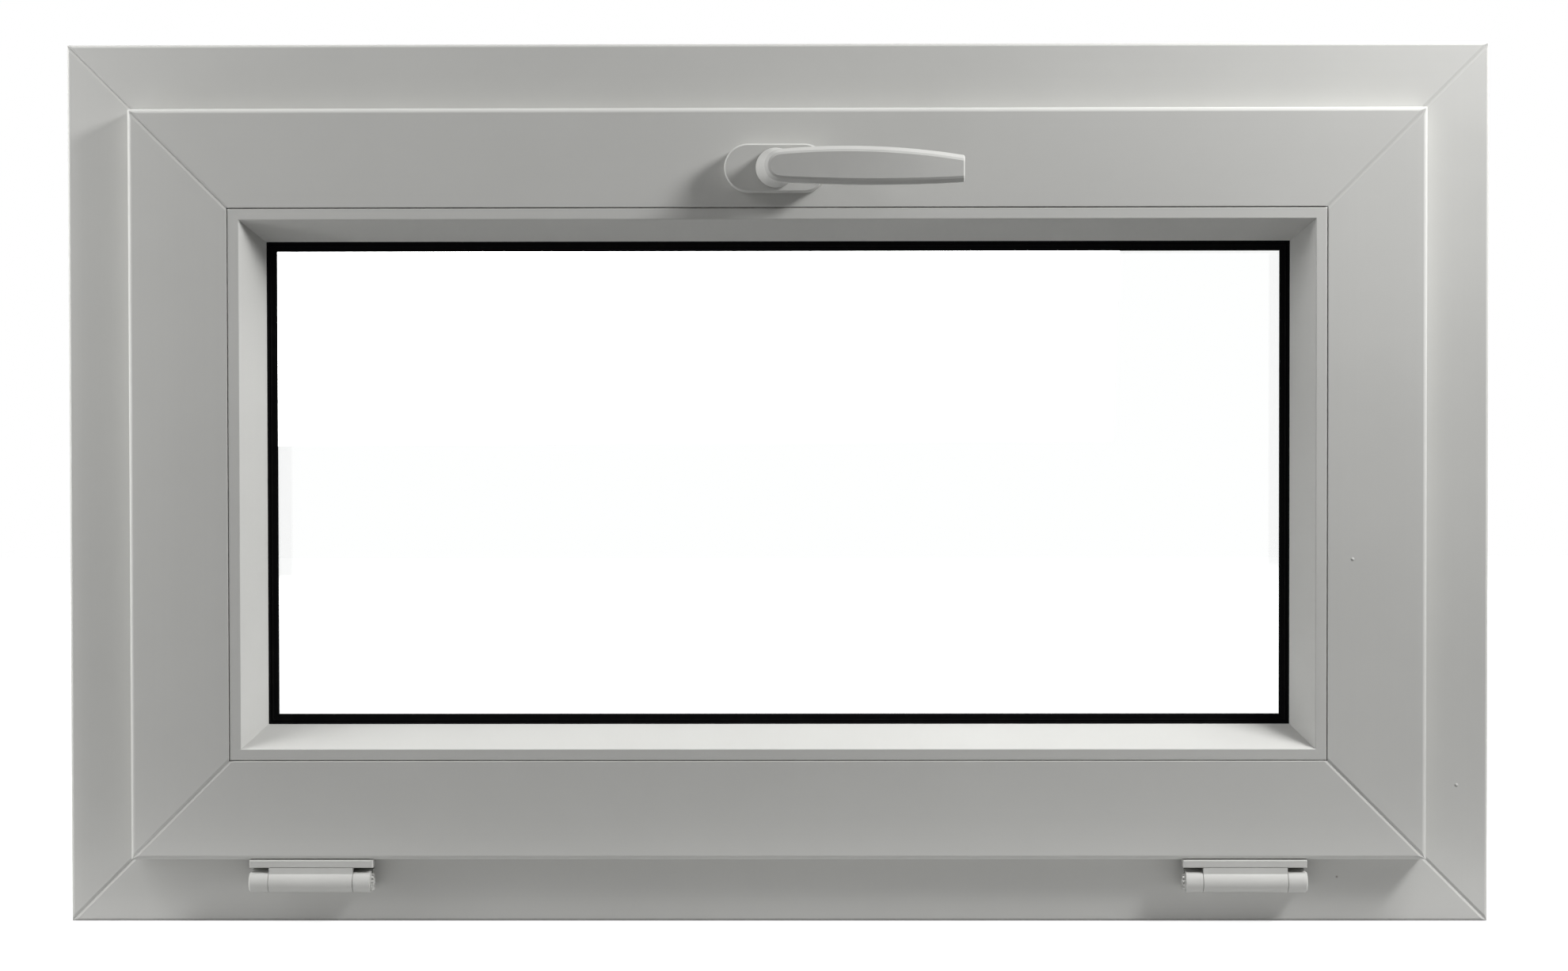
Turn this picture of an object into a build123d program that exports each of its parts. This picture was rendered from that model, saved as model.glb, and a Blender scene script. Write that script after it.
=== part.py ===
from build123d import *
import os

# Bottom-hung tilt window seen from the room: X to the right, Y towards the street, Z up.
# The origin is the middle of the frame's bottom face. Section points are (Y, reach), where
# reach is the distance inwards from the frame's outer edge. All sizes are millimetres.

# Window opening size
window_width = 865.0
window_height = 535.0

# Outer frame profile
frame_depth = 70.0
frame_leg = 47.0
frame_stop_height = 20.0
frame_stop_slope = 2.0
frame_edge_round = 2.0
keep_groove_width = 12.0
keep_groove_depth = 2.5
clip_groove_width = 10.0
clip_groove_depth = 3.0
clip_groove_offset = 19.0

# Sash profile
sash_inset = 40.0
sash_stand_off = 14.0
sash_depth = 70.0
sash_face_width = 60.0
lip_thickness = 9.0
rebate_air = 12.0
sash_edge_round = 3.0
sash_bead_edge_round = 0.4
glazing_leg_height = 15.5
glazing_leg_thickness = 18.0
glazing_leg_slope = 4.5
gear_groove_width = 16.0
gear_groove_depth = 3.0
gear_groove_inset = 39.0

# Weld grooves along the mitres of the frame and the sash
weld_groove_width = 3.0
weld_groove_depth = 0.6

# Double glazing
pane_thickness = 4.0
pane_spacing = 16.0
pane_edge_air = 5.0
gasket_thickness = 3.0
spacer_setback = 3.5
spacer_height = 7.5

# Glazing bead
bead_height = 19.7
bead_face = 7.2
bead_nose = 1.2
bead_recess = 0.3
bead_gap = 0.35
bead_edge_round = 0.8
bead_foot_width = 3.1
bead_foot_depth = 3.7
bead_foot_inset = 12.2
bead_back_relief = 4.0
bead_leg_inset = 18.0

# Rubber profiles
gasket_lip = 4.9
gasket_lip_edge = 1.2
outer_gasket_lip = 4.0
gasket_cover = 6.7
seal_bulb_width = 5.4
seal_root_width = 3.0
seal_root_depth = 2.2
seal_clearance = 0.3
groove_clearance = 0.1

# Handle: swell angles are the directions in which the lever's long edges leave its root
handle_backset = 18.0
rosette_length = 62.4
rosette_height = 29.0
rosette_thickness = 10.5
rosette_edge_bevel = 0.9
neck_base_radius = 12.0
neck_top_radius = 9.2
spigot_radius = 8.0
spigot_length = 6.0
lever_length = 111.8
lever_stand_off = 49.0
lever_thickness = 12.0
lever_bow = 0.6
lever_root_radius = 9.6
lever_root_shift = 3.8
lever_root_drop = 1.1
lever_top_swell = 5.0
lever_low_swell = 3.5
lever_tip_high = 5.0
lever_tip_low = 10.6
lever_tip_drop = 5.0
lever_tip_thickness = 9.5
lever_edge_bevel = 2.6
lever_rim_bevel = 0.8
lever_tip_bevel = 0.7
turning_gap = 0.3
pin_clearance = 0.05

# Hinges
hinge_inset = 108.7
hinge_length = 73.4
hinge_outer_knuckle = 11.7
hinge_inner_knuckle = 10.2
hinge_end_bevel = 0.9
hinge_barrel_radius = 6.45
hinge_axis_drop = 13.6
hinge_axis_out = 11.0
hinge_pin_radius = 3.0
hinge_knuckle_gap = 0.3
hinge_strip_height = 4.6
hinge_strip_depth = 7.4
hinge_strip_proud = 0.8
hinge_strip_setback = 0.25
hinge_strip_bevel = 0.5
hinge_web_thickness = 5.0
hinge_plate_thickness = 3.0
hinge_plate_height = 12.0
hinge_arm_height = 8.0
hinge_end_wall = 1.5
adjuster_length = 2.0
adjuster_radius = 5.0
adjuster_teeth = 12
adjuster_tooth_width = 1.3
adjuster_tooth_depth = 1.2

# Lock faceplate in the gear groove of the sash's top rail
faceplate_length = 600.0
faceplate_thickness = 2.6

# Drain covers on the street side of the sill
drain_cover_width = 40.0
drain_cover_height = 14.0
drain_cover_thickness = 5.0
drain_cover_wall = 1.2
drain_cover_spacing = 460.0
drain_cover_lift = 14.0

# Depths of the main faces along Y
frame_room_face = -frame_depth / 2
frame_street_face = frame_depth / 2
sash_room_face = frame_room_face - sash_stand_off
sash_street_face = sash_room_face + sash_depth
lip_back = sash_room_face + lip_thickness
stop_face = sash_street_face + (frame_room_face - lip_back)
leg_face = sash_street_face - glazing_leg_thickness
outer_pane_face = leg_face - gasket_thickness
inner_pane_face = outer_pane_face - 2 * pane_thickness - pane_spacing
bead_back = inner_pane_face - gasket_thickness
bead_room_face = sash_room_face + bead_recess

# Reaches from the frame's outer edge inwards
stop_reach = frame_leg + frame_stop_height
sash_body_reach = frame_leg + rebate_air
bead_line = sash_inset + sash_face_width
leg_reach = bead_line + glazing_leg_height
bead_reach = bead_line + bead_height
gasket_reach = bead_reach + gasket_lip
pane_reach = bead_line + pane_edge_air
mitre_reach = gasket_reach + glazing_leg_height

# Turn about Y that carries a bottom member to each side
side_turn = {"bottom": 0.0, "left": 90.0, "top": 180.0, "right": -90.0}


def section(*corners):
    """A closed profile from corners (Y, reach) or (Y, reach, corner radius)."""
    points = [corner[:2] for corner in corners]
    radii = [corner[2] if len(corner) > 2 else 0.0 for corner in corners]
    return make_face(FilletPolyline(*points, radius=radii, close=True))


def side_size(side):
    """Length of a side and the distance from the window's centre to its outer edge."""
    if side in ("top", "bottom"):
        return window_width, window_height / 2
    return window_height, window_width / 2


def place(side, shape):
    """Carry a shape made as a bottom member to its side of the window."""
    return Location((0, 0, window_height / 2)) * Rotation(0, side_turn[side], 0) * shape


def weld_groove(length, outer, face, inwards):
    """The V-shaped tool that trims the weld bead at the left end of a bottom member."""
    overcut = weld_groove_depth
    half_width = weld_groove_width * (weld_groove_depth + overcut) / weld_groove_depth / 2
    start = Plane(origin=(-length / 2, face, -outer), x_dir=(1, 0, -1), z_dir=(1, 0, 1))
    triangle = Polyline(
        (-half_width, -overcut * inwards),
        (half_width, -overcut * inwards),
        (0, weld_groove_depth * inwards),
        close=True,
    )
    return extrude(start * make_face(triangle), mitre_reach * 2**0.5)


def member(side, profile, grooved_faces=()):
    """One mitred length of a profile, with weld grooves on its room and street faces."""
    length, outer = side_size(side)
    bar = extrude(Plane.YZ * Pos(0, -outer) * profile, length / 2, both=True)
    mitre = Polyline(
        (-length / 2, -outer),
        (length / 2, -outer),
        (length / 2 - mitre_reach, mitre_reach - outer),
        (mitre_reach - length / 2, mitre_reach - outer),
        close=True,
    )
    bar &= extrude(Plane.XZ * make_face(mitre), frame_depth + sash_stand_off, both=True)
    for face, inwards in grooved_faces:
        tool = weld_groove(length, outer, face, inwards)
        bar -= tool
        bar -= mirror(tool, about=Plane.YZ)
    return place(side, bar)


def ring(profile):
    """A profile carried round all four sides as one mitred loop."""
    loop = member("bottom", profile)
    for side in ("left", "top", "right"):
        loop += member(side, profile)
    return loop


def frame_profile():
    """Room leg, rebate floor with the keep groove, street stop and outer clip grooves."""
    groove = clip_groove_offset - clip_groove_width / 2
    groove_end = clip_groove_offset + clip_groove_width / 2
    seal_low, seal_high = frame_seal_root()
    return section(
        (frame_room_face, 0, frame_edge_round),
        (frame_room_face, frame_leg, frame_edge_round),
        (-keep_groove_width / 2, frame_leg),
        (-keep_groove_width / 2, frame_leg - keep_groove_depth),
        (keep_groove_width / 2, frame_leg - keep_groove_depth),
        (keep_groove_width / 2, frame_leg),
        (stop_face, frame_leg),
        (stop_face, seal_low - groove_clearance),
        (stop_face + seal_root_depth + groove_clearance, seal_low - groove_clearance),
        (stop_face + seal_root_depth + groove_clearance, seal_high + groove_clearance),
        (stop_face, seal_high + groove_clearance),
        (stop_face, stop_reach, groove_clearance),
        (frame_street_face, stop_reach - frame_stop_slope, frame_edge_round),
        (frame_street_face, 0, frame_edge_round),
        (groove_end, 0),
        (groove_end, clip_groove_depth),
        (groove, clip_groove_depth),
        (groove, 0),
        (-groove, 0),
        (-groove, clip_groove_depth),
        (-groove_end, clip_groove_depth),
        (-groove_end, 0),
    )


def sash_profile():
    """Overlap lip, gear groove, glazing rebate with the bead groove, and street leg."""
    seal_low, seal_high = sash_seal_root()
    root_low, root_high = outer_gasket_root()
    foot = sash_room_face + bead_foot_inset - groove_clearance
    foot_end = foot + bead_foot_width + 2 * groove_clearance
    gear = sash_street_face - gear_groove_inset + gear_groove_width
    return section(
        (sash_room_face, sash_inset, sash_edge_round),
        (sash_room_face, bead_line, sash_bead_edge_round),
        (foot, bead_line),
        (foot, bead_line - bead_foot_depth - groove_clearance),
        (foot_end, bead_line - bead_foot_depth - groove_clearance),
        (foot_end, bead_line),
        (leg_face, bead_line),
        (leg_face, root_low - groove_clearance),
        (leg_face + seal_root_depth + groove_clearance, root_low - groove_clearance),
        (leg_face + seal_root_depth + groove_clearance, root_high + groove_clearance),
        (leg_face, root_high + groove_clearance),
        (leg_face, leg_reach, bead_edge_round),
        (sash_street_face, leg_reach - glazing_leg_slope, frame_edge_round),
        (sash_street_face, sash_body_reach, frame_edge_round),
        (gear, sash_body_reach),
        (gear, sash_body_reach + gear_groove_depth),
        (gear - gear_groove_width, sash_body_reach + gear_groove_depth),
        (gear - gear_groove_width, sash_body_reach),
        (lip_back, sash_body_reach),
        (lip_back, seal_high + groove_clearance),
        (lip_back - seal_root_depth - groove_clearance, seal_high + groove_clearance),
        (lip_back - seal_root_depth - groove_clearance, seal_low - groove_clearance),
        (lip_back, seal_low - groove_clearance),
        (lip_back, sash_inset, bead_edge_round),
    )


def bead_profile():
    """Flat face and sloped flank, with a clip foot in the sash's bead groove."""
    foot = sash_room_face + bead_foot_inset
    return section(
        (bead_room_face, bead_line + bead_gap, bead_edge_round),
        (bead_room_face, bead_line + bead_face, bead_edge_round),
        (bead_back - bead_nose, bead_reach, bead_edge_round),
        (bead_back, bead_reach),
        (bead_back, bead_reach - gasket_cover - gasket_thickness),
        (bead_back - bead_back_relief, bead_reach - gasket_cover - gasket_thickness),
        (sash_room_face + bead_leg_inset, bead_line),
        (foot + bead_foot_width, bead_line),
        (foot + bead_foot_width, bead_line - bead_foot_depth),
        (foot, bead_line - bead_foot_depth),
        (foot, bead_line),
    )


def inner_gasket_profile():
    """Wedge between bead and glass, with a lip that shows beside the bead."""
    return section(
        (bead_back, bead_reach - gasket_cover),
        (bead_back, bead_reach),
        (inner_pane_face - gasket_lip_edge, gasket_reach, gasket_lip_edge / 2),
        (inner_pane_face, gasket_reach),
        (inner_pane_face, bead_reach - gasket_cover),
    )


def outer_gasket_root():
    """Reach of the two sides of the outer gasket's root."""
    low = leg_reach - gasket_cover - seal_root_width / 2
    return low, low + seal_root_width


def outer_gasket_profile():
    """Street gasket with its root in the glazing leg and a lip on the glass."""
    low, high = outer_gasket_root()
    return section(
        (outer_pane_face, low - groove_clearance),
        (leg_face, low - groove_clearance),
        (leg_face, low),
        (leg_face + seal_root_depth, low),
        (leg_face + seal_root_depth, high),
        (leg_face, high),
        (leg_face, leg_reach),
        (outer_pane_face + gasket_lip_edge, leg_reach + outer_gasket_lip, gasket_lip_edge / 2),
        (outer_pane_face, leg_reach + outer_gasket_lip),
    )


def frame_seal_root():
    """Reach of the two sides of the frame seal's root, in the stop."""
    middle = (sash_body_reach + stop_reach) / 2
    return middle - seal_root_width / 2, middle + seal_root_width / 2


def sash_seal_root():
    """Reach of the two sides of the sash seal's root, in the lip."""
    middle = (sash_inset + frame_leg) / 2
    return middle - seal_root_width / 2, middle + seal_root_width / 2


def seal_profile(root, seat, front, root_end):
    """A soft bulb on a root: the bulb goes from its seat to its front."""
    low, high = root
    swell = (seal_bulb_width - seal_root_width) / 2
    return section(
        (seat, low - swell),
        (front, low - swell, swell),
        (front, high + swell, swell),
        (seat, high + swell),
        (seat, high),
        (root_end, high),
        (root_end, low),
        (seat, low),
    )


def pane(room_face):
    """One sheet of the double glazing."""
    size_x = window_width - 2 * pane_reach
    size_z = window_height - 2 * pane_reach
    middle = Location((0, room_face + pane_thickness / 2, window_height / 2))
    return middle * Box(size_x, pane_thickness, size_z)


def spacer():
    """The hollow bar's outer form between the two panes, as one loop."""
    low = pane_reach + spacer_setback
    room_side = inner_pane_face + pane_thickness
    street_side = outer_pane_face - pane_thickness
    chamfer_size = spacer_height / 4
    return ring(
        section(
            (room_side, low + chamfer_size),
            (room_side + chamfer_size, low),
            (street_side - chamfer_size, low),
            (street_side, low + chamfer_size),
            (street_side, low + spacer_height),
            (room_side, low + spacer_height),
        )
    )


# Handle frame: X along the lever, Y up and Z out of the sash into the room
handle_height = window_height - sash_body_reach - handle_backset
handle_plane = Plane(origin=(0, sash_room_face, handle_height), x_dir=(1, 0, 0), z_dir=(0, -1, 0))


def handle_rosette():
    """Oblong base with a bearing bore for the lever's spigot."""
    base = extrude(SlotOverall(rosette_length, rosette_height), rosette_thickness)
    base = chamfer(base.faces().sort_by(Axis.Z)[-1].edges(), rosette_edge_bevel)
    bore_depth = spigot_length + turning_gap
    bore = Pos(0, 0, rosette_thickness - bore_depth / 2)
    base -= bore * Cylinder(spigot_radius + pin_clearance, bore_depth)
    return handle_plane * base


def lever_front():
    """Outline of the lever seen from the room: a round root and two long arcs to a straight tip."""
    root = Vector(lever_root_shift, -lever_root_drop)
    rise = Vector(1, 0).rotate(Axis.Z, lever_top_swell)
    dip = Vector(1, 0).rotate(Axis.Z, -lever_low_swell)
    top_start = root + rise.rotate(Axis.Z, 90) * lever_root_radius
    low_start = root + dip.rotate(Axis.Z, -90) * lever_root_radius
    root_end = root - Vector(lever_root_radius, 0)
    tip_top = Vector(lever_length, lever_tip_high)
    tip_bottom = Vector(lever_length, -lever_tip_low)
    outline = [
        TangentArc(top_start, tip_top, tangent=rise),
        Line(tip_top, tip_bottom),
        TangentArc(low_start, tip_bottom, tangent=dip),
        ThreePointArc(low_start, root_end, top_start),
    ]
    return make_face(outline)


def lever_plan():
    """Outline of the lever seen from above: slightly bowed, thinner and nearer the sash at its tip."""
    start = -2 * lever_root_radius
    middle = lever_length / 2
    end = lever_length + lever_edge_bevel
    back = lever_stand_off - lever_thickness
    tip_front = lever_stand_off - lever_tip_drop
    front_line = ThreePointArc(
        (start, lever_stand_off - lever_bow), (middle, lever_stand_off + lever_bow), (end, tip_front)
    )
    back_line = ThreePointArc(
        (end, tip_front - lever_tip_thickness), (middle, back + lever_bow), (start, back - lever_bow)
    )
    sides = [Line(front_line @ 1, back_line @ 0), Line(back_line @ 1, front_line @ 0)]
    return make_face([front_line, back_line, *sides])


def lever_arm():
    """The lever's blade, with its long edges bevelled in two steps and its tip in one."""
    front = extrude(lever_front(), 2 * lever_stand_off)
    plan = extrude(Plane.XZ * lever_plan(), lever_length, both=True)
    arm = front & plan
    tip = arm.faces().sort_by(Axis.X)[-1]
    arm = chamfer(arm.edges().filter_by(Axis.Z, reverse=True) - tip.edges(), lever_edge_bevel)
    tip = arm.faces().sort_by(Axis.X)[-1]
    face = max(arm.faces(), key=lambda side: side.center().Z)
    arm = chamfer(face.edges() - tip.edges(), lever_rim_bevel)
    tip = arm.faces().sort_by(Axis.X)[-1]
    return chamfer(tip.edges(), lever_tip_bevel)


def lever_neck():
    """Leaning cone from the rosette into the lever's root, cut level at its base."""
    start = Vector(0, 0, rosette_thickness + turning_gap)
    end = Vector(lever_root_shift, -lever_root_drop, lever_stand_off - lever_thickness / 2)
    lean = end - start
    below = start - lean.normalized() * neck_base_radius
    growth = (neck_base_radius - neck_top_radius) / lean.length
    length = lean.length + neck_base_radius
    cone = Cone(neck_base_radius * (1 + growth), neck_top_radius, length)
    neck = Plane(origin=(below + end) / 2, z_dir=lean) * cone
    return split(neck, bisect_by=Plane.XY.offset(start.Z), keep=Keep.TOP)


def handle_lever():
    """Lever on its neck, with the spigot that turns in the rosette."""
    neck_start = rosette_thickness + turning_gap
    spigot = Pos(0, 0, neck_start - spigot_length / 2) * Cylinder(spigot_radius, spigot_length)
    return handle_plane * (lever_arm() + lever_neck() + spigot)


# Hinge frame: X along the pin, Y towards the street and Z up, with the pin on X
hinge_axis_y = frame_room_face - hinge_axis_out
hinge_axis_z = sash_inset - hinge_axis_drop
hinge_x = window_width / 2 - sash_inset - hinge_inset
hinge_middle = hinge_length - hinge_outer_knuckle - hinge_inner_knuckle - 2 * hinge_knuckle_gap
hinge_middle_start = hinge_outer_knuckle + hinge_knuckle_gap - hinge_length / 2


def hinge_barrel(start, length, hole=True):
    """A stretch of the hinge's barrel from a start along X."""
    middle = Pos(start + length / 2, 0, 0) * Rotation(0, 90, 0)
    barrel = middle * Cylinder(hinge_barrel_radius, length)
    if hole:
        barrel -= middle * Cylinder(hinge_pin_radius + pin_clearance, length)
    return barrel


def hinge_box(length, low, high):
    """A bar along X between two corners (Y, Z)."""
    size = (length, high[0] - low[0], high[1] - low[1])
    return Pos(0, (low[0] + high[0]) / 2, (low[1] + high[1]) / 2) * Box(*size)


def hinge_sash_leaf():
    """Strip under the sash's lip, with a web down to the middle knuckle."""
    strip_front = sash_room_face - hinge_strip_proud - hinge_axis_y
    strip_top = hinge_axis_drop
    strip_low = strip_top - hinge_strip_height
    strip_length = hinge_length + adjuster_length - 2 * hinge_strip_setback
    strip = hinge_box(strip_length, (strip_front, strip_low), (strip_front + hinge_strip_depth, strip_top))
    strip = chamfer(strip.faces().sort_by(Axis.Y)[0].edges(), hinge_strip_bevel)
    strip = Pos(adjuster_length / 2, 0, 0) * strip
    web = hinge_box(hinge_middle, (strip_front, 0), (strip_front + hinge_web_thickness, strip_low))
    web = Pos(hinge_middle_start + hinge_middle / 2, 0, 0) * web
    knuckle = hinge_barrel(hinge_middle_start, hinge_middle)
    bore = Rotation(0, 90, 0) * Cylinder(hinge_pin_radius + pin_clearance, hinge_length)
    return strip + web + knuckle - bore


def hinge_frame_leaf():
    """Plate on the frame's room face, with an arm and a knuckle at each end."""
    plate_back = hinge_axis_out
    plate_front = plate_back - hinge_plate_thickness
    half_plate = hinge_plate_height / 2
    leaf = hinge_box(hinge_length, (plate_front, -half_plate), (plate_back, half_plate))
    outer_start = -hinge_length / 2
    inner_start = hinge_length / 2 - hinge_inner_knuckle
    for start, length in ((outer_start, hinge_outer_knuckle), (inner_start, hinge_inner_knuckle)):
        arm = hinge_box(length, (0, -hinge_arm_height / 2), (plate_front, hinge_arm_height / 2))
        knuckle = hinge_barrel(start, length, hole=False)
        if start == outer_start:
            knuckle = chamfer(knuckle.faces().sort_by(Axis.X)[0].edges(), hinge_end_bevel)
        leaf += Pos(start + length / 2, 0, 0) * arm
        leaf += knuckle
    bore_length = hinge_length - hinge_end_wall
    bore_middle = Pos(hinge_end_wall / 2, 0, 0) * Rotation(0, 90, 0)
    return leaf - bore_middle * Cylinder(hinge_pin_radius + pin_clearance, bore_length)


def hinge_pin():
    """The steel pin, from the closed end knuckle to the adjuster."""
    length = hinge_length - hinge_end_wall
    return Pos(hinge_end_wall / 2, 0, 0) * Rotation(0, 90, 0) * Cylinder(hinge_pin_radius, length)


def hinge_adjuster():
    """Toothed end collar on the window's middle side of the hinge."""
    centre = Pos(hinge_length / 2 + adjuster_length / 2, 0, 0) * Rotation(0, 90, 0)
    collar = Cylinder(adjuster_radius, adjuster_length)
    notch = Pos(adjuster_radius, 0, adjuster_length / 2) * Box(
        adjuster_radius, adjuster_tooth_width, 2 * adjuster_tooth_depth
    )
    collar -= PolarLocations(0, adjuster_teeth) * notch
    return centre * collar


def lock_faceplate():
    """Steel strip on the floor of the gear groove along the sash's top edge."""
    gear = sash_street_face - gear_groove_inset + gear_groove_width
    high = window_height - sash_body_reach - gear_groove_depth
    middle = Location((0, gear - gear_groove_width / 2, high + faceplate_thickness / 2))
    plate = RectangleRounded(
        faceplate_length,
        gear_groove_width - 2 * groove_clearance,
        gear_groove_width / 2 - 2 * groove_clearance,
    )
    return middle * extrude(plate, faceplate_thickness / 2, both=True)


def drain_cover():
    """Hood over a drain slot, open at the bottom."""
    round_top = drain_cover_thickness - drain_cover_wall / 2
    outside = section(
        (0, 0),
        (drain_cover_thickness, 0),
        (drain_cover_thickness, drain_cover_height, round_top),
        (0, drain_cover_height),
    )
    inside = section(
        (-drain_cover_wall, -drain_cover_wall),
        (drain_cover_thickness - drain_cover_wall, -drain_cover_wall),
        (drain_cover_thickness - drain_cover_wall, drain_cover_height - drain_cover_wall),
        (-drain_cover_wall, drain_cover_height - drain_cover_wall),
    )
    hood = extrude(Plane.YZ * outside, drain_cover_width / 2, both=True)
    hood -= extrude(Plane.YZ * inside, drain_cover_width / 2 - drain_cover_wall, both=True)
    return Location((0, frame_street_face, drain_cover_lift)) * hood


def make_parts():
    """Every piece of the window by its name."""
    parts = {}
    frame_faces = ((frame_room_face, 1), (frame_street_face, -1))
    sash_faces = ((sash_room_face, 1), (sash_street_face, -1))
    frame_names = {"top": "head", "bottom": "sill", "left": "left_jamb", "right": "right_jamb"}
    sash_names = {"top": "top_rail", "bottom": "bottom_rail", "left": "left_stile", "right": "right_stile"}
    for side in side_turn:
        parts["frame_" + frame_names[side]] = member(side, frame_profile(), frame_faces)
        parts["sash_" + sash_names[side]] = member(side, sash_profile(), sash_faces)
        parts["bead_" + side] = member(side, bead_profile())

    frame_seal = seal_profile(
        frame_seal_root(), stop_face, sash_street_face + seal_clearance, stop_face + seal_root_depth
    )
    sash_seal = seal_profile(
        sash_seal_root(), lip_back, frame_room_face - seal_clearance, lip_back - seal_root_depth
    )
    parts["frame_seal"] = ring(frame_seal)
    parts["sash_seal"] = ring(sash_seal)
    parts["inner_glazing_gasket"] = ring(inner_gasket_profile())
    parts["outer_glazing_gasket"] = ring(outer_gasket_profile())
    parts["inner_pane"] = pane(inner_pane_face)
    parts["outer_pane"] = pane(outer_pane_face - pane_thickness)
    parts["spacer_bar"] = spacer()
    parts["lock_faceplate"] = lock_faceplate()
    parts["handle_rosette"] = handle_rosette()
    parts["handle_lever"] = handle_lever()

    hinge_pieces = {
        "sash_leaf": hinge_sash_leaf(),
        "frame_leaf": hinge_frame_leaf(),
        "pin": hinge_pin(),
        "adjuster": hinge_adjuster(),
    }
    for name, piece in hinge_pieces.items():
        placed = Location((-hinge_x, hinge_axis_y, hinge_axis_z)) * piece
        parts["left_hinge_" + name] = placed
        parts["right_hinge_" + name] = mirror(placed, about=Plane.YZ)

    for side, direction in (("left", -1), ("right", 1)):
        shift = Location((direction * drain_cover_spacing / 2, 0, 0))
        parts[side + "_drain_cover"] = shift * drain_cover()
    return parts


os.makedirs("parts", exist_ok=True)
for part_name, shape in make_parts().items():
    export_step(shape, f"parts/{part_name}.step")
    print(part_name, round(shape.volume), shape.is_valid)
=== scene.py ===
import math

import bmesh
import bpy
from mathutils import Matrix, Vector


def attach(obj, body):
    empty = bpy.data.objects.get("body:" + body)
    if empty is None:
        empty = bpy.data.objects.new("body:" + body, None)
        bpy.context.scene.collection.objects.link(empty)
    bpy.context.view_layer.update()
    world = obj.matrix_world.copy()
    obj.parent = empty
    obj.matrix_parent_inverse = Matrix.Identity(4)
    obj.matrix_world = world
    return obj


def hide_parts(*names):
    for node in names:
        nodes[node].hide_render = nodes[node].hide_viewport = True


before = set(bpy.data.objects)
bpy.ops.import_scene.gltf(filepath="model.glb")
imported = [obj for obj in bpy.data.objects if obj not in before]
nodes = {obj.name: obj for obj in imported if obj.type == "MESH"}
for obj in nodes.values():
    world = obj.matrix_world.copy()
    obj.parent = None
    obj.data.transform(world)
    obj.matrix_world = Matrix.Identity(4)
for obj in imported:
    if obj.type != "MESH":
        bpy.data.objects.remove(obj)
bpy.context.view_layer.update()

scene = bpy.context.scene
print("frame loaded,", len(nodes), "nodes")


def fromScreen(red, green, blue):
    # screen values 0 to 255 to the linear values that sockets take
    def linear(value):
        value /= 255
        return value / 12.92 if value <= 0.04045 else ((value + 0.055) / 1.055) ** 2.4
    return (linear(red), linear(green), linear(blue), 1)


# camera, at the height of the glass and a little right of the middle
cameraSettings = {
    "place": (0.0433, -1.705, 0.3446),
    "pitchDown": 0.992,
    "turnLeft": 0.381,
    "roll": 0.076,
    "lens": 62.98,
    "shift": (-0.0295, -0.0517),
    "nearest": 0.01,
}


def makeCamera(settings):
    data = bpy.data.cameras.new("camera")
    data.lens = settings["lens"]
    data.shift_x, data.shift_y = settings["shift"]
    data.clip_start = settings["nearest"]
    camera = bpy.data.objects.new("camera", data)
    camera.location = settings["place"]
    camera.rotation_euler = (
        math.radians(90 - settings["pitchDown"]),
        math.radians(settings["roll"]),
        math.radians(settings["turnLeft"]),
    )
    scene.collection.objects.link(camera)
    scene.camera = camera


makeCamera(cameraSettings)
print("camera placed")


wholeRange = (0, 1)
noiseMiddle = (0.3, 0.7)  # where most of a noise pattern's values lie
speckRim = 0.6  # share of a speck's radius that is fully coloured


# small node helpers, each returns the socket that carries on
def newFinish(name):
    material = bpy.data.materials.new(name)
    material.use_nodes = True
    return material, material.node_tree, material.node_tree.nodes["Principled BSDF"]


def plug(tree, target, source):
    if isinstance(source, bpy.types.NodeSocket):
        tree.links.new(source, target)
    else:
        target.default_value = source


def spot(tree, stretch=(1, 1, 1), offset=(0, 0, 0)):
    coordinate = tree.nodes.new("ShaderNodeTexCoord")
    mapping = tree.nodes.new("ShaderNodeMapping")
    mapping.inputs["Scale"].default_value = stretch
    mapping.inputs["Location"].default_value = offset
    tree.links.new(coordinate.outputs["Object"], mapping.inputs["Vector"])
    return mapping.outputs["Vector"]


def cloud(tree, vector, scale, detail=2.0, roughness=0.5):
    noise = tree.nodes.new("ShaderNodeTexNoise")
    tree.links.new(vector, noise.inputs["Vector"])
    noise.inputs["Scale"].default_value = scale
    noise.inputs["Detail"].default_value = detail
    noise.inputs["Roughness"].default_value = roughness
    return noise.outputs["Fac"]


def remap(tree, value, before, after):
    node = tree.nodes.new("ShaderNodeMapRange")
    plug(tree, node.inputs["Value"], value)
    node.inputs["From Min"].default_value, node.inputs["From Max"].default_value = before
    node.inputs["To Min"].default_value, node.inputs["To Max"].default_value = after
    return node.outputs["Result"]


def sums(tree, operation, first, second):
    node = tree.nodes.new("ShaderNodeMath")
    node.operation = operation
    plug(tree, node.inputs[0], first)
    plug(tree, node.inputs[1], second)
    return node.outputs[0]


def tint(tree, share, first, second):
    node = tree.nodes.new("ShaderNodeMix")
    node.data_type = "RGBA"
    plug(tree, node.inputs["Factor"], share)
    plug(tree, node.inputs["A"], first)
    plug(tree, node.inputs["B"], second)
    return node.outputs["Result"]


def relief(tree, height, depth, strength=1.0, below=None):
    node = tree.nodes.new("ShaderNodeBump")
    node.inputs["Strength"].default_value = strength
    node.inputs["Distance"].default_value = depth
    tree.links.new(height, node.inputs["Height"])
    if below is not None:
        tree.links.new(below, node.inputs["Normal"])
    return node.outputs["Normal"]


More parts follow.
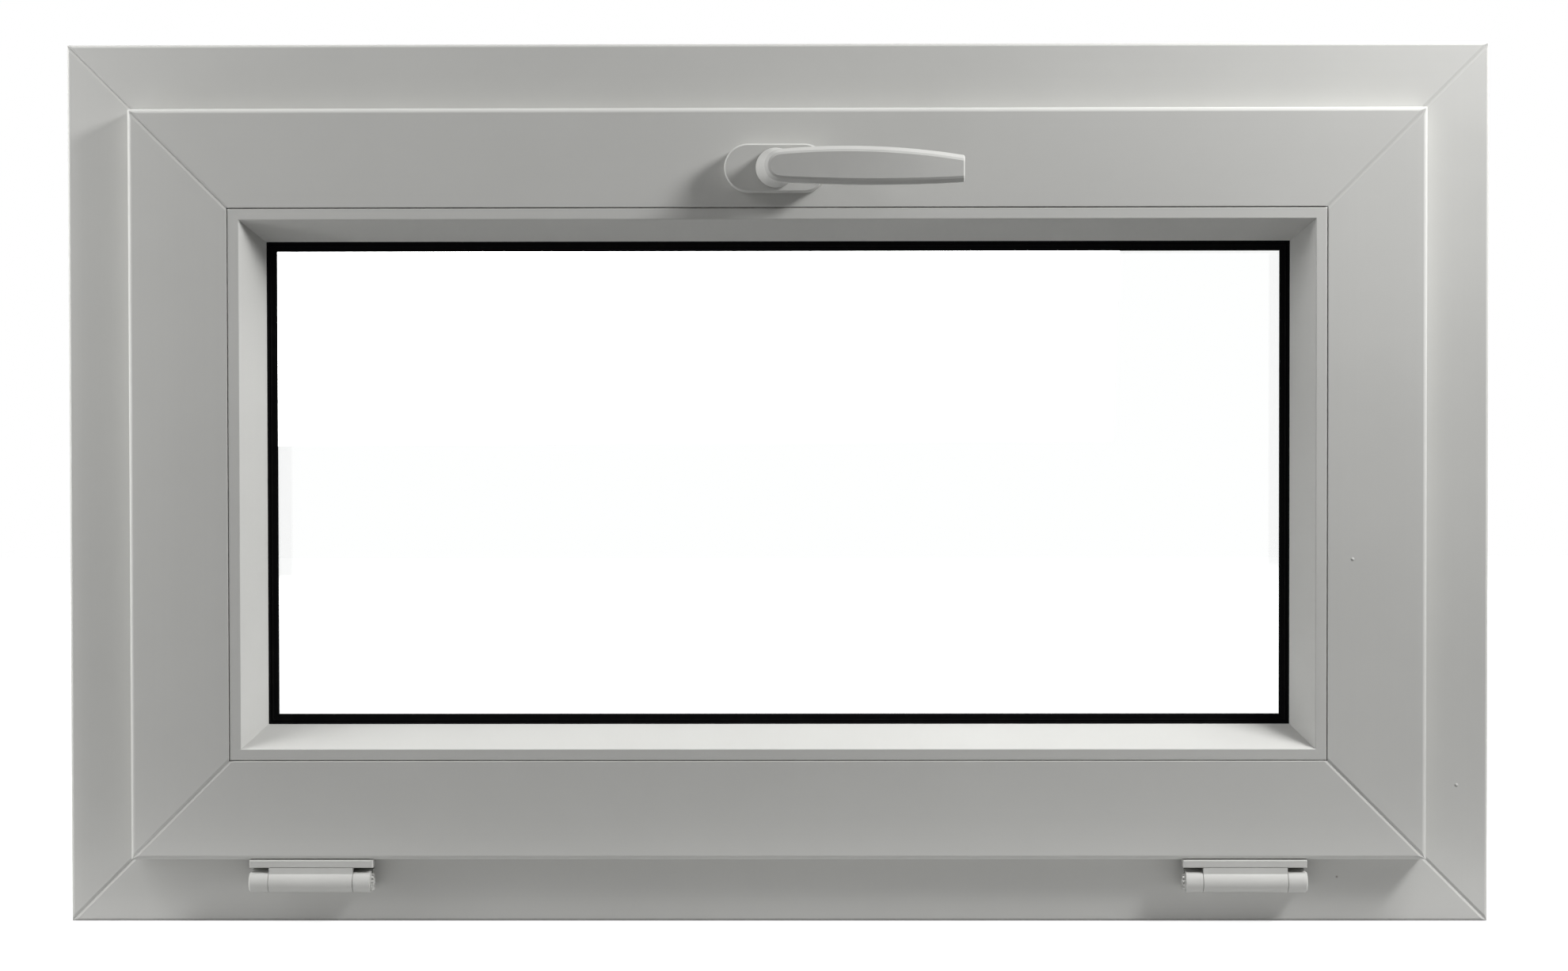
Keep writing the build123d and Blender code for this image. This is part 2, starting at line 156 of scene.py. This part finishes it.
def specks(tree, vector, scale, radius, share):
    # sparse round dots: few cells of a cell pattern get one
    cells = tree.nodes.new("ShaderNodeTexVoronoi")
    tree.links.new(vector, cells.inputs["Vector"])
    cells.inputs["Scale"].default_value = scale
    dot = remap(tree, cells.outputs["Distance"], (radius * speckRim, radius), (1, 0))
    parted = tree.nodes.new("ShaderNodeSeparateColor")
    tree.links.new(cells.outputs["Color"], parted.inputs["Color"])
    chosen = sums(tree, "LESS_THAN", parted.outputs["Red"], share)
    return sums(tree, "MULTIPLY", dot, chosen)


def marks(tree, vector, points, reach):
    # 1 at each of a few points of the window, fading to 0 at the given reach
    total = 0.0
    for point in points:
        away = tree.nodes.new("ShaderNodeVectorMath")
        away.operation = "DISTANCE"
        tree.links.new(vector, away.inputs[0])
        away.inputs[1].default_value = point
        near = remap(tree, away.outputs["Value"], (0, reach), (1, 0))
        total = sums(tree, "MAXIMUM", near, total)
    return total


# white extruded plastic: faint die lines along each bar, soft mottling, a few specks
profilePlastic = {
    "light": fromScreen(199, 199, 196),
    "dark": fromScreen(195, 195, 192),
    "speck": fromScreen(120, 116, 108),
    "roughness": (0.36, 0.44),
    "specular": 0.14,
    "colourSpan": (0.35, 0.65),
    "lineSpacing": 520,
    "lineStretch": 0.8,
    "lineShare": 0.12,
    "lineDepth": 0.000002,
    "grainScale": 1500,
    "grainDepth": 0.000006,
    "mottleScale": 7,
    "speckCells": 34,
    "speckRadius": 0.016,
    "speckShare": 0.05,
    "pimples": [(0.3474, -0.049, 0.2221), (0.4134, -0.035, 0.0833)],
    "pimpleReach": 0.0012,
    "pimpleHeight": 0.0006,
    "dirt": [(0.3407, -0.035, 0.0272)],
    "dirtReach": 0.001,
}


def plasticFinish(name, along, settings):
    material, tree, shader = newFinish(name)
    fine = settings["lineSpacing"]
    stretch = [fine, fine, fine]
    stretch["XYZ".index(along)] = settings["lineStretch"]
    lines = cloud(tree, spot(tree, stretch), scale=1, detail=3, roughness=0.6)
    place = spot(tree)
    mottle = cloud(tree, place, settings["mottleScale"], detail=4, roughness=0.55)
    grain = cloud(tree, place, settings["grainScale"])
    share = settings["lineShare"]
    lineParts = sums(tree, "MULTIPLY", lines, share)
    mottleParts = sums(tree, "MULTIPLY", mottle, 1 - share)
    blend = sums(tree, "ADD", lineParts, mottleParts)
    paleShare = remap(tree, blend, settings["colourSpan"], wholeRange)
    colour = tint(tree, paleShare, settings["dark"], settings["light"])
    dots = specks(tree, place, settings["speckCells"], settings["speckRadius"], settings["speckShare"])
    dots = sums(tree, "MAXIMUM", dots, marks(tree, place, settings["dirt"], settings["dirtReach"]))
    tree.links.new(tint(tree, dots, colour, settings["speck"]), shader.inputs["Base Color"])
    tree.links.new(remap(tree, blend, noiseMiddle, settings["roughness"]), shader.inputs["Roughness"])
    pimples = marks(tree, place, settings["pimples"], settings["pimpleReach"])
    bump = relief(tree, pimples, settings["pimpleHeight"])
    bump = relief(tree, lines, settings["lineDepth"], below=bump)
    bump = relief(tree, grain, settings["grainDepth"], below=bump)
    tree.links.new(bump, shader.inputs["Normal"])
    shader.inputs["Specular IOR Level"].default_value = settings["specular"]
    return material


# powder coat of the lever, its base, the hinges and the drain covers
powderCoat = {
    "light": fromScreen(193, 193, 190),
    "dark": fromScreen(189, 189, 186),
    "roughness": (0.38, 0.46),
    "specular": 0.16,
    "peelScale": 620,
    "peelDepth": 0.00002,
    "grainScale": 2600,
    "grainDepth": 0.000006,
    "mottleScale": 40,
}


def coatFinish(name, settings):
    material, tree, shader = newFinish(name)
    place = spot(tree)
    mottle = cloud(tree, place, settings["mottleScale"], detail=3)
    peel = cloud(tree, place, settings["peelScale"], detail=1)
    grain = cloud(tree, place, settings["grainScale"])
    paleShare = remap(tree, mottle, noiseMiddle, wholeRange)
    colour = tint(tree, paleShare, settings["dark"], settings["light"])
    tree.links.new(colour, shader.inputs["Base Color"])
    tree.links.new(remap(tree, peel, noiseMiddle, settings["roughness"]), shader.inputs["Roughness"])
    bump = relief(tree, peel, settings["peelDepth"])
    bump = relief(tree, grain, settings["grainDepth"], below=bump)
    tree.links.new(bump, shader.inputs["Normal"])
    shader.inputs["Specular IOR Level"].default_value = settings["specular"]
    return material


# black sealing rubber, matt, with a little dust
sealRubber = {
    "rubber": fromScreen(9, 9, 10),
    "dust": fromScreen(19, 19, 19),
    "grain": fromScreen(92, 90, 84),
    "grainCells": 70,
    "grainRadius": 0.03,
    "grainShare": 0.12,
    "roughness": (0.62, 0.8),
    "dustScale": 60,
    "dustSpan": (0.5, 0.8),
    "grainScale": 1800,
    "grainDepth": 0.00002,
    "specular": 0.02,
}


def rubberFinish(name, settings):
    material, tree, shader = newFinish(name)
    place = spot(tree)
    dust = cloud(tree, place, settings["dustScale"], detail=5, roughness=0.65)
    grain = cloud(tree, place, settings["grainScale"])
    dustShare = remap(tree, dust, settings["dustSpan"], wholeRange)
    colour = tint(tree, dustShare, settings["rubber"], settings["dust"])
    dots = specks(tree, place, settings["grainCells"], settings["grainRadius"], settings["grainShare"])
    tree.links.new(tint(tree, dots, colour, settings["grain"]), shader.inputs["Base Color"])
    tree.links.new(remap(tree, dust, noiseMiddle, settings["roughness"]), shader.inputs["Roughness"])
    tree.links.new(relief(tree, grain, settings["grainDepth"]), shader.inputs["Normal"])
    shader.inputs["Specular IOR Level"].default_value = settings["specular"]
    return material


# clear float glass with a slight roll wave; lamps shine through it
floatGlass = {
    "colour": (0.996, 1.0, 0.998, 1),
    "index": 1.5,
    "waveStretch": (3.0, 1.0, 9.0),
    "waveDepth": 0.00004,
    "waveStrength": 0.3,
    "filmScale": 22,
    "filmSpan": (0.45, 0.75),
    "filmRoughness": (0.0, 0.012),
}


def glassFinish(name, settings):
    material, tree, shader = newFinish(name)
    shader.inputs["Base Color"].default_value = settings["colour"]
    shader.inputs["Transmission Weight"].default_value = 1
    shader.inputs["IOR"].default_value = settings["index"]
    film = cloud(tree, spot(tree), settings["filmScale"], detail=4, roughness=0.6)
    haze = remap(tree, film, settings["filmSpan"], settings["filmRoughness"])
    tree.links.new(haze, shader.inputs["Roughness"])
    wave = cloud(tree, spot(tree, settings["waveStretch"]), scale=1, detail=1)
    bump = relief(tree, wave, settings["waveDepth"], settings["waveStrength"])
    tree.links.new(bump, shader.inputs["Normal"])
    path = tree.nodes.new("ShaderNodeLightPath")
    clear = tree.nodes.new("ShaderNodeBsdfTransparent")
    clear.inputs["Color"].default_value = settings["colour"]
    mix = tree.nodes.new("ShaderNodeMixShader")
    tree.links.new(path.outputs["Is Shadow Ray"], mix.inputs["Fac"])
    tree.links.new(shader.outputs["BSDF"], mix.inputs[1])
    tree.links.new(clear.outputs["BSDF"], mix.inputs[2])
    tree.links.new(mix.outputs["Shader"], tree.nodes["Material Output"].inputs["Surface"])
    return material


# metals: mill aluminium of the spacer, zinc plated steel of pins and faceplate
spacerMetal = {
    "light": (0.62, 0.63, 0.64, 1),
    "dark": (0.5, 0.51, 0.52, 1),
    "roughness": (0.3, 0.45),
    "patchScale": 300,
    "grainDepth": 0.000015,
}
zincSteel = {
    "light": (0.6, 0.6, 0.6, 1),
    "dark": (0.46, 0.46, 0.45, 1),
    "roughness": (0.26, 0.42),
    "patchScale": 180,
    "grainDepth": 0.00001,
}


def metalFinish(name, settings):
    material, tree, shader = newFinish(name)
    place = spot(tree)
    patch = cloud(tree, place, settings["patchScale"], detail=4, roughness=0.6)
    paleShare = remap(tree, patch, noiseMiddle, wholeRange)
    colour = tint(tree, paleShare, settings["dark"], settings["light"])
    tree.links.new(colour, shader.inputs["Base Color"])
    tree.links.new(remap(tree, patch, noiseMiddle, settings["roughness"]), shader.inputs["Roughness"])
    tree.links.new(relief(tree, patch, settings["grainDepth"]), shader.inputs["Normal"])
    shader.inputs["Metallic"].default_value = 1
    return material


finishes = {
    "across": plasticFinish("plastic along the rails", "X", profilePlastic),
    "upright": plasticFinish("plastic along the stiles", "Z", profilePlastic),
    "coat": coatFinish("powder coat", powderCoat),
    "rubber": rubberFinish("seal rubber", sealRubber),
    "glass": glassFinish("float glass", floatGlass),
    "spacer": metalFinish("spacer aluminium", spacerMetal),
    "zinc": metalFinish("zinc plated steel", zincSteel),
}
finishOf = {
    "across": [
        "frame_head", "frame_sill", "sash_top_rail", "sash_bottom_rail", "bead_top", "bead_bottom",
    ],
    "upright": [
        "frame_left_jamb", "frame_right_jamb", "sash_left_stile", "sash_right_stile",
        "bead_left", "bead_right",
    ],
    "coat": [
        "handle_lever", "handle_rosette", "left_hinge_frame_leaf", "right_hinge_frame_leaf",
        "left_hinge_sash_leaf", "right_hinge_sash_leaf", "left_hinge_adjuster", "right_hinge_adjuster",
        "left_drain_cover", "right_drain_cover",
    ],
    "rubber": ["frame_seal", "sash_seal", "inner_glazing_gasket", "outer_glazing_gasket"],
    "glass": ["inner_pane", "outer_pane"],
    "spacer": ["spacer_bar"],
    "zinc": ["left_hinge_pin", "right_hinge_pin", "lock_faceplate"],
}
for finish, names in finishOf.items():
    for name in names:
        mesh = nodes[name].data
        mesh.materials.clear()
        mesh.materials.append(finishes[finish])
print("finishes on", sum(len(names) for names in finishOf.values()), "nodes")


# pieces that run round the window with mitred corners; each section is a list of
# (depth, reach inwards from the frame's outer edge)
windowHalf = {"width": 0.4325, "height": 0.2675}
nextCorners = [(-1, 1, 1), (1, 1, -1), (-1, 1, 1)]  # flips that lead from corner to corner
# gasket between bead and glass, with a ribbed neck and a soft lip that shows beside the bead
gasketLip = {
    "section": [
        (-0.027, 0.113), (-0.027, 0.1197), (-0.0267, 0.1203), (-0.0262, 0.1208), (-0.0262, 0.1214),
        (-0.0264, 0.1219), (-0.0258, 0.1226), (-0.0254, 0.1248), (-0.025, 0.1255), (-0.0245, 0.1257),
        (-0.024, 0.1257), (-0.024, 0.113),
    ],
    "finish": "rubber",
    "slot": "black_rubber",
    "replaces": ["inner_glazing_gasket"],
}
# thin edge of the sash's lip, which reaches back almost to the frame and hides the seal
sashLipEdge = {
    "section": [
        (-0.041, 0.04002), (-0.0362, 0.04002), (-0.0359, 0.0401), (-0.0357, 0.0403), (-0.0357, 0.0405),
        (-0.0359, 0.0407), (-0.041, 0.0407),
    ],
    "finish": "across",
    "slot": "white_profile",
    "replaces": [],
}


def makeLoop(name, settings):
    shape = bmesh.new()
    corner = [
        shape.verts.new((reach - windowHalf["width"], depth, reach - windowHalf["height"]))
        for depth, reach in settings["section"]
    ]
    start = [shape.edges.new(pair) for pair in zip(corner, corner[1:] + corner[:1])]
    ring = start
    for flip in nextCorners:
        grown = bmesh.ops.extrude_edge_only(shape, edges=ring)["geom"]
        points = {part for part in grown if isinstance(part, bmesh.types.BMVert)}
        edges = [part for part in grown if isinstance(part, bmesh.types.BMEdge)]
        ring = [edge for edge in edges if points.issuperset(edge.verts)]
        bmesh.ops.scale(shape, vec=flip, verts=list(points))
    bmesh.ops.bridge_loops(shape, edges=start + ring)
    bmesh.ops.recalc_face_normals(shape, faces=shape.faces)
    bmesh.ops.translate(shape, vec=(0, 0, windowHalf["height"]), verts=shape.verts)
    mesh = bpy.data.meshes.new(name)
    shape.to_mesh(mesh)
    shape.free()
    mesh.materials.append(finishes[settings["finish"]])
    piece = bpy.data.objects.new(name, mesh)
    scene.collection.objects.link(piece)
    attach(piece, "sash")
    if settings["replaces"]:
        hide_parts(*settings["replaces"])


makeLoop("gasket_lip", gasketLip)
makeLoop("sash_lip_edge", sashLipEdge)
print("gasket lip and sash lip edge made")


# white room: background white to the eye, in gloss and through glass, dimmer as light
roomSettings = {
    "seen": (1, 1, 1, 1),
    "light": (0.015, 0.015, 0.015, 1),
    "floorSide": 6.0,
    "floorGlow": (0.84, 1.0),
    "floorGlowReach": (0.6, 1.6),
    "floorShade": (0.45, 0.45, 0.45, 1),
    "floorBounce": (0.30, 0.30, 0.30, 1),
}


def seenRay(tree):
    path = tree.nodes.new("ShaderNodeLightPath")
    seen = sums(tree, "MAXIMUM", path.outputs["Is Camera Ray"], path.outputs["Is Glossy Ray"])
    seen = sums(tree, "MAXIMUM", seen, path.outputs["Is Transmission Ray"])
    # a ray that has left a matt face counts as light and doesn't see it
    direct = sums(tree, "LESS_THAN", path.outputs["Diffuse Depth"], 1)
    return sums(tree, "MULTIPLY", seen, direct)


def makeWorld(settings):
    world = bpy.data.worlds.new("white room")
    world.use_nodes = True
    tree = world.node_tree
    background = tree.nodes["Background"]
    colour = tint(tree, seenRay(tree), settings["light"], settings["seen"])
    tree.links.new(colour, background.inputs["Color"])
    scene.world = world


def makeFloor(settings):
    material, tree, shader = newFinish("white floor")
    tree.nodes.remove(shader)
    lit = tree.nodes.new("ShaderNodeBsdfDiffuse")
    lit.inputs["Color"].default_value = settings["floorShade"]
    glow = tree.nodes.new("ShaderNodeEmission")
    away = tree.nodes.new("ShaderNodeVectorMath")
    away.operation = "LENGTH"
    tree.links.new(spot(tree), away.inputs[0])
    level = remap(tree, away.outputs["Value"], settings["floorGlowReach"], settings["floorGlow"])
    tree.links.new(level, glow.inputs["Strength"])
    both = tree.nodes.new("ShaderNodeAddShader")
    tree.links.new(lit.outputs["BSDF"], both.inputs[0])
    tree.links.new(glow.outputs["Emission"], both.inputs[1])
    plain = tree.nodes.new("ShaderNodeBsdfDiffuse")
    plain.inputs["Color"].default_value = settings["floorBounce"]
    mix = tree.nodes.new("ShaderNodeMixShader")
    tree.links.new(seenRay(tree), mix.inputs["Fac"])
    tree.links.new(plain.outputs["BSDF"], mix.inputs[1])
    tree.links.new(both.outputs["Shader"], mix.inputs[2])
    tree.links.new(mix.outputs["Shader"], tree.nodes["Material Output"].inputs["Surface"])
    shape = bmesh.new()
    bmesh.ops.create_grid(shape, x_segments=1, y_segments=1, size=settings["floorSide"] / 2)
    mesh = bpy.data.meshes.new("floor")
    shape.to_mesh(mesh)
    shape.free()
    mesh.materials.append(material)
    floor = bpy.data.objects.new("floor", mesh)
    scene.collection.objects.link(floor)


makeWorld(roomSettings)
makeFloor(roomSettings)
print("room made")


# a main lamp from the upper right, soft boxes above and left, low strips for the sill and the left jamb
lamps = {
    "keyRight": {
        "place": (1.3, -0.55, 1.25), "aim": (0.0, -0.05, 0.3), "size": (0.38, 0.38), "power": 23.5,
    },
    "nearRight": {
        "place": (0.7, -0.2, 0.95), "aim": (0.0, -0.05, 0.3), "size": (0.3, 0.3), "power": 4.0,
    },
    "above": {
        "place": (0.0, -0.35, 1.5), "aim": (0.0, -0.05, 0.3), "size": (1.6, 0.3), "power": 2.2,
    },
    "left": {
        "place": (-0.9, -0.2, 1.0), "aim": (0.0, -0.04, 0.3), "size": (0.4, 0.4), "power": 6.0,
    },
    "farLeft": {
        "place": (-1.3, -0.4, 0.5), "aim": (0.0, -0.05, 0.3), "size": (0.3, 0.8), "power": 2.2,
    },
    "lowLeft": {
        "place": (-0.95, -0.12, 0.35), "aim": (-0.4, -0.04, 0.3), "size": (0.2, 0.6), "power": 1.7,
    },
    "sillFloor": {
        "place": (0.0, -0.09, 0.008), "aim": (0.0, -0.035, 0.012), "size": (1.0, 0.012), "power": 0.081,
    },
    "jambLeft": {
        "place": (-0.5, -0.1, 0.27), "aim": (-0.41, -0.035, 0.27), "size": (0.012, 0.5), "power": 0.08,
    },
    "back": {
        "place": (-0.4, 2.6, 0.7), "aim": (0.0, 0.05, 0.3), "size": (1.8, 1.0), "power": 34,
    },
}


def makeLamp(name, settings):
    data = bpy.data.lights.new(name, "AREA")
    data.shape = "RECTANGLE"
    data.size, data.size_y = settings["size"]
    data.energy = settings["power"]
    lamp = bpy.data.objects.new(name, data)
    lamp.location = settings["place"]
    lamp.rotation_mode = "QUATERNION"
    aim = Vector(settings["aim"]) - Vector(settings["place"])
    lamp.rotation_quaternion = aim.to_track_quat("-Z", "Y")
    scene.collection.objects.link(lamp)


for name, settings in lamps.items():
    makeLamp(name, settings)
scene.view_settings.view_transform = "Standard"
print("lamps set")
